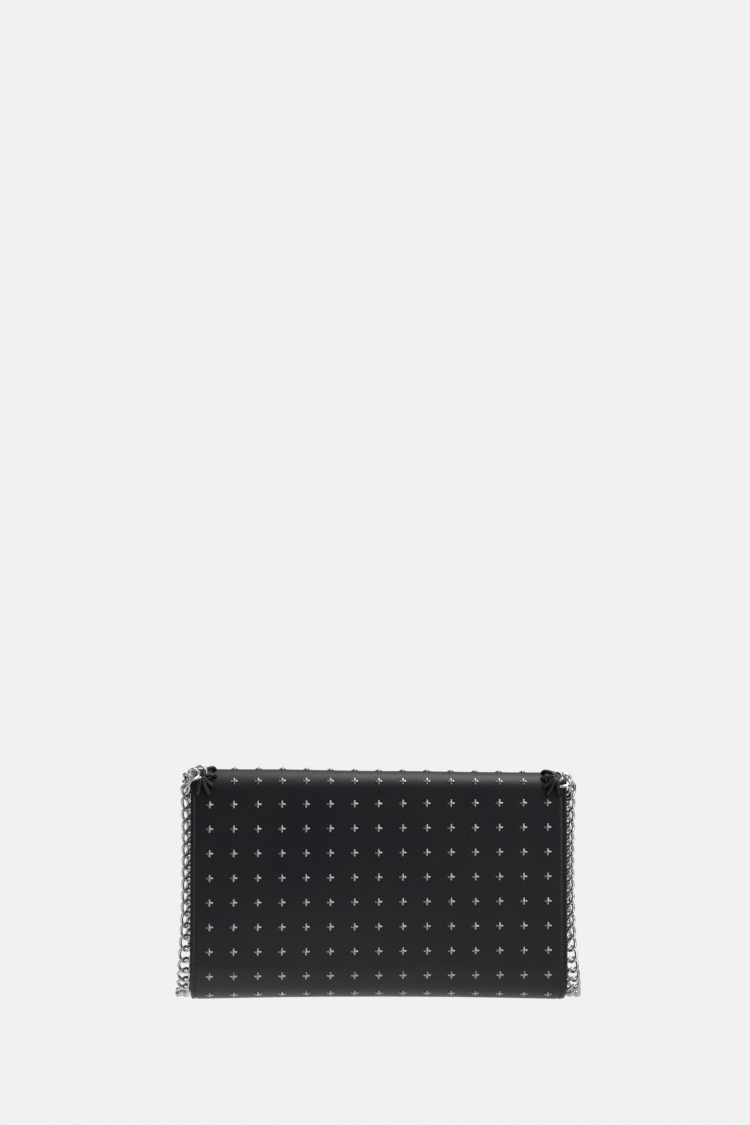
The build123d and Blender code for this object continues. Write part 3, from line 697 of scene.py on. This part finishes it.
def row_outline(left, right, depth, r):
    """(x, depth) round one row of a sheet: outer face, right rim, inner face, left rim."""
    rim = [(r * math.sin(math.radians(turn)), depth + r - r * math.cos(math.radians(turn)))
           for turn in RIM_TURNS]
    places = [column_place(i, left, right) for i in range(COLUMNS + 1)]
    outline = [(x, depth) for x in places]
    outline += [(right + out, d) for out, d in rim]
    outline += [(x, depth + 2 * r) for x in reversed(places)]
    outline += [(left - out, d) for out, d in reversed(rim)]
    return outline


def sheet_faces(rings):
    """Faces between the rows of a sheet, and across its two ends."""
    size = len(rings[0])
    faces = []
    for a, b in zip(rings, rings[1:]):
        for k in range(size):
            faces.append((a[k], b[k], b[(k + 1) % size], a[(k + 1) % size]))
    rim = len(RIM_TURNS)
    for ring, flip in ((rings[0], False), (rings[-1], True)):
        upper = ring[:COLUMNS + 1]
        lower = ring[COLUMNS + 1 + rim:2 * COLUMNS + 2 + rim][::-1]
        for k in range(COLUMNS):
            quad = (upper[k], upper[k + 1], lower[k + 1], lower[k])
            faces.append(quad[::-1] if flip else quad)
        right = [upper[-1]] + ring[COLUMNS + 1:COLUMNS + 1 + rim] + [lower[-1]]
        left = [lower[0]] + ring[2 * COLUMNS + 2 + rim:] + [upper[0]]
        for fan in (right, left):
            faces.append(tuple(fan[::-1]) if flip else tuple(fan))
    return faces


def sheet(name, path, start, end, depth, thick, finish, inset=0.0, step=2 * MM,
          free_start=False, free_end=False, corner=0.0):
    """A closed sheet of even thickness along part of a path, with rounded edges."""
    r = thick / 2
    middle = depth + r
    rows = row_places(start, end, step, free_start, free_end, thick)
    if corner:
        rows = corner_places(rows, end, corner)
    verts, rings = [], []
    for s, share in rows:
        left = r - half_width(path, s, -1, inset, end, corner)
        right = half_width(path, s, 1, inset, end, corner) - r
        ring = []
        for x, d in row_outline(left, right, depth, r):
            point, _ = skin_point(path, x, s, middle + (d - middle) * share)
            ring.append(len(verts))
            verts.append(point)
        rings.append(ring)
    return add_mesh(name, verts, sheet_faces(rings), finish)


def make_shell():
    """Back, bottom and low front in one piece, then the top strip up to the crease."""
    layers = (
        ("leather", 0.0, LEATHER, outer_leather, 0.0, "outer_leather", ("back_panel", "top_strip")),
        ("lining", LEATHER, LINING, lining_cloth, LINING_INSET, "lining",
         ("body_lining", "strip_lining")),
    )
    for word, depth, thick, finish, inset, slot, nodes in layers:
        shell = sheet("shell_" + word, SHELL_PATH, 0.0, TOP_START, depth, thick, finish,
                      inset=inset)
        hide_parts(nodes[0])
        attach(shell, "wallet_body")
        strip = sheet("strip_" + word, SHELL_PATH, TOP_START, STRIP_RUN, depth, thick, finish,
                      inset=inset, step=0.7 * MM)
        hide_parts(nodes[1])
        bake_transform(strip)


def make_flap():
    """The soft fold and the flap in one piece, leather and lining."""
    leather = sheet("flap_leather", SHELL_PATH, STRIP_RUN, FULL_RUN, 0.0, LEATHER, outer_leather,
                    free_end=True, corner=FLAP_CORNER_R)
    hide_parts("flap_panel", "flap_fold")
    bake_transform(leather)
    cloth = sheet("flap_cloth", SHELL_PATH, STRIP_RUN, FULL_RUN - LINING_INSET, LEATHER, LINING,
                  lining_cloth, inset=LINING_INSET, free_end=True,
                  corner=FLAP_CORNER_R - LINING_INSET)
    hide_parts("flap_lining", "fold_lining")
    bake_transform(cloth)


def make_front():
    """The front panel under the flap, leather and lining."""
    end = path_length(LEAF_PATH)
    leather = sheet("front_leather", LEAF_PATH, 0.0, end, 0.0, LEATHER, outer_leather,
                    free_start=True)
    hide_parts("front_panel")
    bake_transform(leather)
    cloth = sheet("front_cloth", LEAF_PATH, LINING_INSET, end, LEATHER, LINING, lining_cloth,
                  inset=LINING_INSET, free_start=True)
    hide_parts("front_lining")
    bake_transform(cloth)


make_shell()
make_flap()
make_front()


# ---- gussets
GUSSET_THICK = 0.9 * MM
GUSSET_GAP = 1.4 * MM  # to the leather's side edge
GUSSET_ROWS = 46
GUSSET_COLUMNS = 28


def gusset_span(z, back, front):
    """Back and front of a gusset at a height: it narrows with the shell's bottom folds."""
    if z < BACK_BOTTOM_R:
        near = BACK_BOTTOM_R - SKIN_DEPTH
        back = back + near - math.sqrt(max(0.0, near ** 2 - (BACK_BOTTOM_R - z) ** 2))
    if z < FRONT_BOTTOM_R:
        near = FRONT_BOTTOM_R - SKIN_DEPTH
        front = front - near + math.sqrt(max(0.0, near ** 2 - (FRONT_BOTTOM_R - z) ** 2))
    return back, front


def gusset_row(side, z, back, front, fold_x):
    """Points round one row of a gusset: its outer face, then its inner face back again."""
    edge_x = HALF - GUSSET_GAP
    slack = 0.6 * MM * math.sin(z * 90) + 0.35 * MM * math.sin(z * 210 + side)
    outer, inner = [], []
    for k in range(GUSSET_COLUMNS + 1):
        u = k / GUSSET_COLUMNS
        y = back + (front - back) * u
        dip = 1 - abs(2 * u - 1) ** 1.5
        x = edge_x - (edge_x - fold_x) * dip * 0.94 + slack * dip
        outer.append(Vector((side * x, y, z)))
        inner.append(Vector((side * (x - GUSSET_THICK), y, z)))
    return outer + inner[::-1]


def make_gusset(side, name):
    """Side wall with a soft inward fold, narrowing to the bottom fold of the shell."""
    low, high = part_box(name)
    back, front = low[1], high[1]
    fold_x = min(abs(low[0]), abs(high[0])) + GUSSET_GAP
    verts, rings = [], []
    for i in range(GUSSET_ROWS + 1):
        z = low[2] + (high[2] - low[2]) * i / GUSSET_ROWS
        row = gusset_row(side, z, *gusset_span(z, back, front), fold_x)
        rings.append(range(len(verts), len(verts) + len(row)))
        verts.extend(row)
    faces = []
    for a, b in zip(rings, rings[1:]):
        faces += ring_faces(a, b)
    for ring, flip in ((rings[0], True), (rings[-1], False)):
        for k in range(GUSSET_COLUMNS):
            quad = (ring[k], ring[k + 1], ring[-2 - k], ring[-1 - k])
            faces.append(quad[::-1] if flip else quad)
    if side < 0:
        faces = [face[::-1] for face in faces]
    piece = add_mesh(name + "_fold", verts, faces, inner_leather)
    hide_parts(name)
    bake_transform(piece)


make_gusset(-1, "gusset_left")
make_gusset(1, "gusset_right")


# ---- studs
STUD_SPAN = 3.85 * MM  # across two opposite arms
STUD_ARM = 1.0 * MM  # width of an arm
STUD_ARM_HEIGHT = 0.62 * MM
STUD_DROOP = 0.62  # share of that height lost at the tips
STUD_DOME_R = 0.98 * MM
STUD_DOME_HEIGHT = 1.12 * MM
STUD_TURN = 0.09  # how far a stud may stand turned
STUD_SIDES = 56
# rings from the rim to the top: share of the outline, and of the height (below 0: mm under it)
STUD_RINGS = ((1.0, -0.15), (1.0, 0.25), (0.96, 0.62), (0.88, 0.88), (0.76, 1.0), (0.6, 1.0),
              (0.45, 1.0), (0.33, 1.0), (0.2, 1.0))
BACK_ROWS = [(row, FULL_COLUMNS) for row in range(-1, 8)] + [(8, INNER_COLUMNS), (9, INNER_COLUMNS)]
FOLD_ROWS = [(10, INNER_COLUMNS), (11, INNER_COLUMNS)]
FLAP_ROWS = [(row, INNER_COLUMNS) for row in range(12, 18)]


def stud_outline(turn):
    """Radius of the four-armed outline in a direction."""
    best = 0.0
    arm = STUD_ARM / 2
    reach = STUD_SPAN / 2 - arm
    for i in range(4):
        off = (turn - i * math.pi / 2 + math.pi) % (2 * math.pi) - math.pi
        if abs(off) > math.pi / 2 - 0.01:
            continue
        side = abs(math.sin(off))
        flank = arm / side if side > 1e-6 else 1.0
        if flank * math.cos(off) > reach:
            nearest = reach * math.cos(off)
            inner = nearest * nearest - (reach * reach - arm * arm)
            flank = nearest + math.sqrt(max(0.0, inner))
        best = max(best, flank)
    return max(best, arm * 1.25)


def stud_height(radius):
    """Height over the leather: a domed middle on arms that droop to their tips."""
    far = radius / (STUD_SPAN / 2)
    arm = STUD_ARM_HEIGHT * (1 - STUD_DROOP * far ** 2.2)
    dome = STUD_DOME_HEIGHT * math.sqrt(max(0.0, 1 - (radius / STUD_DOME_R) ** 2))
    return max(arm, dome)


def stud_shape():
    """One four-armed stud, its foot a little under the leather's face."""
    verts, faces = [], []
    for share, rise in STUD_RINGS:
        for k in range(STUD_SIDES):
            turn = 2 * math.pi * k / STUD_SIDES
            radius = stud_outline(turn) * share
            height = stud_height(radius) * rise if rise > 0 else rise * MM
            verts.append(Vector((radius * math.cos(turn), radius * math.sin(turn), height)))
    top = len(verts)
    verts.append(Vector((0, 0, stud_height(0.0))))
    rings = [range(i * STUD_SIDES, (i + 1) * STUD_SIDES) for i in range(len(STUD_RINGS))]
    for a, b in zip(rings, rings[1:]):
        faces += ring_faces(a, b)
    last = rings[-1][0]
    for k in range(STUD_SIDES):
        faces.append((last + k, last + (k + 1) % STUD_SIDES, top))
    faces.append(tuple(range(STUD_SIDES - 1, -1, -1)))
    return verts, faces


STUD = stud_shape()


def studs(rows):
    """Stud copies for (row number, columns) pairs, each a little turned as set by hand."""
    parts = []
    for row, columns in rows:
        run = FIRST_ROW + row * STUD_PITCH
        for i in range(columns):
            x = (i - (columns - 1) / 2) * STUD_STEP
            point, normal = skin_point(SHELL_PATH, x, run + ROW_TILT * x)
            across = Vector((1, 0, 0))
            upward = normal.cross(across)
            turn = noise.noise(Vector((i * 3.1, row * 2.7, 5.0))) * STUD_TURN
            spin = Matrix((across, upward, normal)).transposed() @ Matrix.Rotation(turn, 3, "Z")
            parts.append(([point + spin @ v for v in STUD[0]], STUD[1]))
    return join(parts)


def make_studs():
    """The studs of the back, the soft fold and the flap."""
    back = add_mesh("studs_back", *studs(BACK_ROWS), stud_metal)
    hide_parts("back_studs")
    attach(back, "wallet_body")
    fold = add_mesh("studs_fold", *studs(FOLD_ROWS), stud_metal)
    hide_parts("fold_studs")
    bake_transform(fold)
    front = add_mesh("studs_flap", *studs(FLAP_ROWS), stud_metal)
    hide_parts("flap_studs")
    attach(front, "flap")


make_studs()


# ---- the trim round the flap
LINK_LIFT = 2.2 * MM  # from the leather's face to the middle of a link
TRIM_OVERHANG = 0.5 * MM  # how far the links' middle line stands past the edge
TRIM_SWAY = 0.06  # how much a link stands out of line
STITCH_R = 0.78 * MM
STITCH_LEAN = 1.35 * MM
TRIM_HALF = HALF + TRIM_OVERHANG
TRIM_R = FLAP_CORNER_R + TRIM_OVERHANG
TRIM_LOW = FLAP_BOTTOM - TRIM_OVERHANG
TRIM_SIDE = FOLD_Z - TRIM_LOW - TRIM_R
TRIM_CORNER = TRIM_R * math.pi / 2
TRIM_BOTTOM = 2 * (TRIM_HALF - TRIM_R)
TRIM_LENGTH = 2 * TRIM_SIDE + 2 * TRIM_CORNER + TRIM_BOTTOM
LINK_PITCH = 5.8 * MM
TRIM_COUNT = int(TRIM_LENGTH / LINK_PITCH)
TRIM_PITCH = TRIM_LENGTH / TRIM_COUNT


def trim_place(run):
    """Place, direction and inward direction of the chain round the flap's edge, from top left."""
    if run > TRIM_LENGTH / 2:
        place, along, inward = trim_place(TRIM_LENGTH - run)
        return (Vector((-place.x, 0, place.z)), Vector((along.x, 0, -along.z)),
                Vector((-inward.x, 0, inward.z)))
    if run < TRIM_SIDE:
        return Vector((-TRIM_HALF, 0, FOLD_Z - run)), Vector((0, 0, -1)), Vector((1, 0, 0))
    run -= TRIM_SIDE
    if run < TRIM_CORNER:
        turn = run / TRIM_R
        out = Vector((-math.cos(turn), 0, -math.sin(turn)))
        centre = Vector((-TRIM_HALF + TRIM_R, 0, TRIM_LOW + TRIM_R))
        return centre + out * TRIM_R, Vector((math.sin(turn), 0, -math.cos(turn))), -out
    place = Vector((-TRIM_HALF + TRIM_R + run - TRIM_CORNER, 0, TRIM_LOW))
    return place, Vector((1, 0, 0)), Vector((0, 0, 1))


def whip_stitch(along, inward, place):
    """A closed loop of cord: through the leather, over the link's inner side and round the edge."""
    face = FLAP_Y
    back = FLAP_Y - LEATHER - LINING
    # reach inwards from the chain's middle in mm, y, and lean along the edge
    corners = (
        (7.2, face - 0.6 * MM, -1.0),
        (6.7, face + 0.9 * MM, -0.95),
        (5.0, face + 3.0 * MM, -0.6),
        (3.0, face + 4.75 * MM, -0.2),
        (1.4, face + 4.3 * MM, 0.0),
        (0.1, face + 1.6 * MM, 0.1),
        (-0.35, face - 1.4 * MM, 0.2),
        (0.6, back - 0.75 * MM, 0.4),
        (3.8, back - 0.85 * MM, 1.2),
        (6.5, back - 0.7 * MM, 0.4),
    )
    points = []
    for reach, y, shift in corners:
        point = place + inward * (reach * MM) + along * (shift * STITCH_LEAN)
        point.y = y
        points.append(point)
    return tube(smooth_line(points, 5, closed=True), STITCH_R, 10, closed=True)


def make_trim():
    """The chain round the flap and the stitches that hold it."""
    groups = {"flap_trim_left": [], "flap_trim_bottom": [], "flap_trim_right": []}
    stitches = []
    outward = Vector((0, 1, 0))
    for i in range(TRIM_COUNT):
        run = TRIM_PITCH * (i + 0.5)
        place, along, inward = trim_place(run)
        place.y = FLAP_Y + LINK_LIFT
        tip = along + inward * noise.noise(Vector((i * 1.7, 2.0, 0.0))) * TRIM_SWAY
        name = "flap_trim_left" if run < TRIM_SIDE else "flap_trim_bottom"
        if run > TRIM_LENGTH - TRIM_SIDE:
            name = "flap_trim_right"
        groups[name].append(link_at(place, tip, outward))
        stitches.append(whip_stitch(along, inward, place))
    for name, links in groups.items():
        piece = add_mesh(name + "_links", *join(links), chain_metal)
        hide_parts(name)
        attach(piece, "flap")
    laces = add_mesh("flap_lacing", *join(stitches), lace_leather)
    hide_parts("flap_laces")
    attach(laces, "flap")


def make_fold_trim():
    """The trim's first and last link, on the soft fold."""
    links = []
    y, z, ny, nz = on_path(SHELL_PATH, FLAP_START - TRIM_PITCH / 2)
    normal = Vector((0, ny, nz))
    for side in (-1, 1):
        centre = Vector((side * TRIM_HALF, y, z)) + normal * LINK_LIFT
        links.append(link_at(centre, Vector((0, nz, -ny)), normal))
    piece = add_mesh("fold_trim_links", *join(links), chain_metal)
    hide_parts("fold_trim")
    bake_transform(piece)


make_trim()
make_fold_trim()


# ---- the strap's sewn ends
# each link's middle in mm, its long axis and its flat side, from the fan to the strap
CORNER_LINKS = {
    "left": (
        ((-90.9, -17.6, 113.8), (0.80, 0.12, 0.58), (-0.12, -0.93, 0.35)),
        ((-94.3, -18.5, 112.1), (0.60, 0.10, 0.80), (-0.55, -0.72, 0.42)),
        ((-97.0, -14.8, 109.9), (0.22, -0.62, 0.75), (-0.80, -0.55, 0.15)),
        ((-97.2, -10.4, 107.0), (0.0, 0.88, -0.47), (-0.95, -0.12, -0.22)),
    ),
    "right": (
        ((89.4, -16.3, 113.3), (0.62, 0.50, 0.60), (0.0, -0.77, 0.64)),
        ((93.8, -17.6, 111.7), (0.60, 0.40, 0.60), (0.10, -0.85, 0.50)),
        ((96.9, -14.2, 109.6), (0.25, 0.66, -0.70), (0.85, -0.50, 0.15)),
        ((97.0, -10.2, 106.9), (0.0, 0.88, -0.47), (0.95, -0.12, -0.22)),
    ),
}
# lace ends: distance in from the side edge and height, in mm
FAN_ENDS = ((12.0, 115.9), (12.4, 112.4), (11.4, 107.2), (10.0, 102.9), (3.7, 102.8))
FAN_INSET = 5.2 * MM  # the fan's middle: in from the side edge, and along the leather
FAN_RUN = BACK_RUN + 6.2 * MM
FAN_LACE_R = 1.08 * MM
# each lace as (share of the way from the fan's middle to its end, mm over the leather)
LACE_ARCH = ((-0.08, 1.0), (0.08, 3.6), (0.3, 4.0), (0.6, 2.6), (0.86, 1.5), (0.99, 0.2),
             (1.03, -1.2))


def fan_lace(side, inset, height):
    """One lace of a fan, arched over the links from the fan's middle to its hole."""
    z = height * MM
    if z <= FOLD_Z:
        end_run = BOTTOM_RUN + z - BACK_BOTTOM_R
    else:
        end_run = BACK_RUN + FOLD_R * math.asin((z - FOLD_Z) / FOLD_R)
    x0 = side * (HALF - FAN_INSET)
    x1 = side * (HALF - inset * MM)
    points = []
    for share, lift in LACE_ARCH:
        x = x0 + (x1 - x0) * share
        run = FAN_RUN + (end_run - FAN_RUN) * share
        point, normal = skin_point(SHELL_PATH, x, run)
        points.append(point + normal * (lift * MM))
    return tube(smooth_line(points, 6), FAN_LACE_R, 14)


def make_corner(side, word):
    """The sewn links of one top corner and the fan of laces over them."""
    links = []
    for centre, along, normal in CORNER_LINKS[word]:
        place = Vector(centre) * MM
        place.z -= sag(place.x, SAG_START + SAG_RAMP)
        links.append(link_at(place, Vector(along), Vector(normal)))
    chain = add_mesh(f"corner_{word}_links", *join(links), chain_metal)
    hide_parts(f"corner_links_{word}")
    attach(chain, "wallet_body")
    stitches = [fan_lace(side, inset, height) for inset, height in FAN_ENDS]
    lace = add_mesh(f"corner_{word}_lacing", *join(stitches), lace_leather)
    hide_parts(f"corner_lace_{word}")
    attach(lace, "wallet_body")


make_corner(-1, "left")
make_corner(1, "right")


# ---- seams
SEAM_PITCH = 3.4 * MM
SEAM_START = BOTTOM_RUN - 20 * MM
SEAM_END = BACK_RUN + 13 * MM
THREAD_R = 0.3 * MM
# one stitch: share of its length and mm over the leather; both ends go down into their holes
STITCH_ARCH = ((0.0, -0.3), (0.14, 0.12), (0.5, 0.24), (0.86, 0.12), (1.0, -0.3))


def make_seams():
    """Saddle stitches down both side edges of the back."""
    parts = []
    for side in (-1, 1):
        for i in range(int((SEAM_END - SEAM_START) / SEAM_PITCH)):
            points = []
            for share, lift in STITCH_ARCH:
                s = SEAM_START + SEAM_PITCH * (i + 0.08 + 0.84 * share)
                inset = SEAM_INSET + side_inset(side, s)
                point, normal = skin_point(SHELL_PATH, side * (HALF - inset), s)
                points.append(point + normal * (lift * MM))
            parts.append(tube(smooth_line(points, 2), THREAD_R, 8))
    piece = add_mesh("seam_threads", *join(parts), thread_cloth)
    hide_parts("seam_stitches")
    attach(piece, "wallet_body")


make_seams()


# ---- finishes of the inner parts
FINISHES = {
    "inner_leather": inner_leather,
    "lining": lining_cloth,
    "zip_fabric": tape_cloth,
    "hardware_metal": hardware_metal,
}
slot_of = {row["node"]: row["material_slot"] for row in frame["record"]["subparts"]}
for name, node in frame["nodes"].items():
    finish = FINISHES.get(slot_of.get(name))
    if finish is not None:
        for place in node.material_slots:
            place.material = finish


# ---- stage and light
PAPER = (0.8796, 0.8796, 0.8796, 1)  # the even pale grey of floor and background
ROOM = 12.0
FLOOR_Z = -0.0002
GLOW_PLACE = (-0.11, -0.05, 0.0)  # the floor gives back most light here
GLOW_NEAR, GLOW_FAR = 0.05, 0.65
GLOW_HIGH, GLOW_LOW = 0.9, 0.07
HORIZON = (0.02, 0.02, 0.021)
CEILING = (0.9, 0.9, 0.91)
ROOM_LEAN = 0.12  # the room is a little paler towards the right
ROOM_STRENGTH = 0.72


def seen_or(nodes, links, seen, hidden, out):
    """One shader where the surface is looked at, another for the light it gives."""
    kind = nodes.new("ShaderNodeLightPath")
    mix = nodes.new("ShaderNodeMixShader")
    links.new(kind.outputs["Is Camera Ray"], mix.inputs[0])
    links.new(hidden.outputs[0], mix.inputs[1])
    links.new(seen.outputs[0], mix.inputs[2])
    links.new(mix.outputs[0], out)


def make_stage():
    """A plain pale floor that gives back less light further from the wallet."""
    verts = [Vector((x, y, FLOOR_Z))
             for x, y in ((-ROOM, -ROOM), (ROOM, -ROOM), (ROOM, ROOM), (-ROOM, ROOM))]
    made, nodes, links, shader = material("floor_paper", (0.8, 0.8, 0.8), 0.9)
    nodes.remove(shader)
    seen = new_node(nodes, "ShaderNodeEmission", Color=PAPER)
    bounce = nodes.new("ShaderNodeEmission")
    place = nodes.new("ShaderNodeTexCoord")
    reach = nodes.new("ShaderNodeVectorMath")
    reach.operation = "DISTANCE"
    reach.inputs[1].default_value = GLOW_PLACE
    links.new(place.outputs["Object"], reach.inputs[0])
    glow = spread(nodes, links, reach.outputs["Value"], GLOW_HIGH, GLOW_LOW, GLOW_NEAR, GLOW_FAR)
    links.new(glow, bounce.inputs["Strength"])
    seen_or(nodes, links, seen, bounce, nodes["Material Output"].inputs["Surface"])
    floor = add_mesh("floor", verts, [(0, 1, 2, 3)], made, smooth=False)


def make_world():
    """A pale background; the room it reflects is dark at the horizon and pale above."""
    world = bpy.data.worlds.new("studio")
    bpy.context.scene.world = world
    world.use_nodes = True
    nodes, links = world.node_tree.nodes, world.node_tree.links
    nodes.clear()
    out = nodes.new("ShaderNodeOutputWorld")
    seen = new_node(nodes, "ShaderNodeBackground", Color=PAPER)
    room = new_node(nodes, "ShaderNodeBackground", Strength=ROOM_STRENGTH)
    place = nodes.new("ShaderNodeTexCoord")
    split = nodes.new("ShaderNodeSeparateXYZ")
    links.new(place.outputs["Generated"], split.inputs[0])
    lean = nodes.new("ShaderNodeMath")
    lean.operation = "MULTIPLY_ADD"
    lean.inputs[1].default_value = ROOM_LEAN
    links.new(split.outputs["X"], lean.inputs[0])
    links.new(split.outputs["Z"], lean.inputs[2])
    links.new(tint(nodes, links, lean.outputs[0], HORIZON, CEILING, 0.2, 0.8),
              room.inputs["Color"])
    seen_or(nodes, links, seen, room, out.inputs[0])


# name, place, aim, width, height and power of each soft light
LIGHTS = (
    ("above", (0.36, 0.04, 1.25), (0, 0, 0.05), 1.2, 0.8, 11),
    ("left", (-1.3, -0.7, 0.6), (0, 0, 0.06), 0.25, 0.6, 1.6),
    ("right", (1.2, -0.9, 0.5), (0, 0, 0.06), 0.9, 1.2, 10),
    ("front_right", (0.85, -2.2, 0.45), (0, 0, 0.06), 0.5, 0.9, 1.8),
)


def add_light(name, place, aim, width, height, power):
    """A rectangular soft light that faces its aim."""
    data = bpy.data.lights.new(name, "AREA")
    data.shape = "RECTANGLE"
    data.size = width
    data.size_y = height
    data.energy = power
    lamp = bpy.data.objects.new(name, data)
    lamp.location = place
    lamp.rotation_euler = (Vector(aim) - Vector(place)).to_track_quat("-Z", "Y").to_euler()
    bpy.context.scene.collection.objects.link(lamp)


make_stage()
make_world()
for light in LIGHTS:
    add_light(*light)
bpy.context.scene.view_settings.view_transform = "Standard"
bpy.context.scene.view_settings.look = "None"
